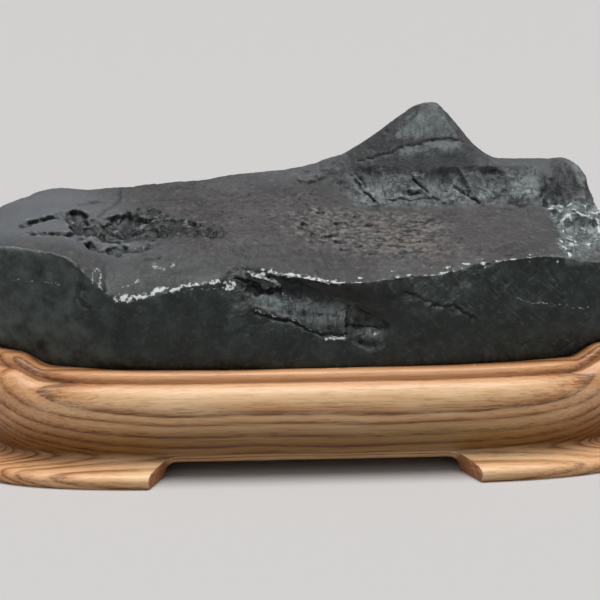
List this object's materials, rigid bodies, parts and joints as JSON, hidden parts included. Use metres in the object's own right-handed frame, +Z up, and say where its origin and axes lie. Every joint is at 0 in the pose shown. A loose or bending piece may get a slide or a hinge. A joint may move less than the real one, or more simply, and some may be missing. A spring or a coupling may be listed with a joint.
{
  "type": "scholar's rock on a carved stand",
  "caption": "Dark natural viewing rock with a flat plateau and a pointed summit, resting in a low carved hardwood stand with flared corner feet.",
  "frame": {"origin": "on the surface the stand stands on, under the middle of the stand's outline", "axes": "+Z up, +X along the rock's long axis with the summit on the +X half, -Y out of the steep front cliff"},
  "size_m": [0.295, 0.1364, 0.1452],
  "materials": {
    "dark_stone": "waxed, river-polished, satin",
    "oiled_ash": "oiled, satin, open grain"
  },
  "bodies": {
    "root": {"rock": "dark_stone", "stand": "oiled_ash"}
  },
  "joints": []
}
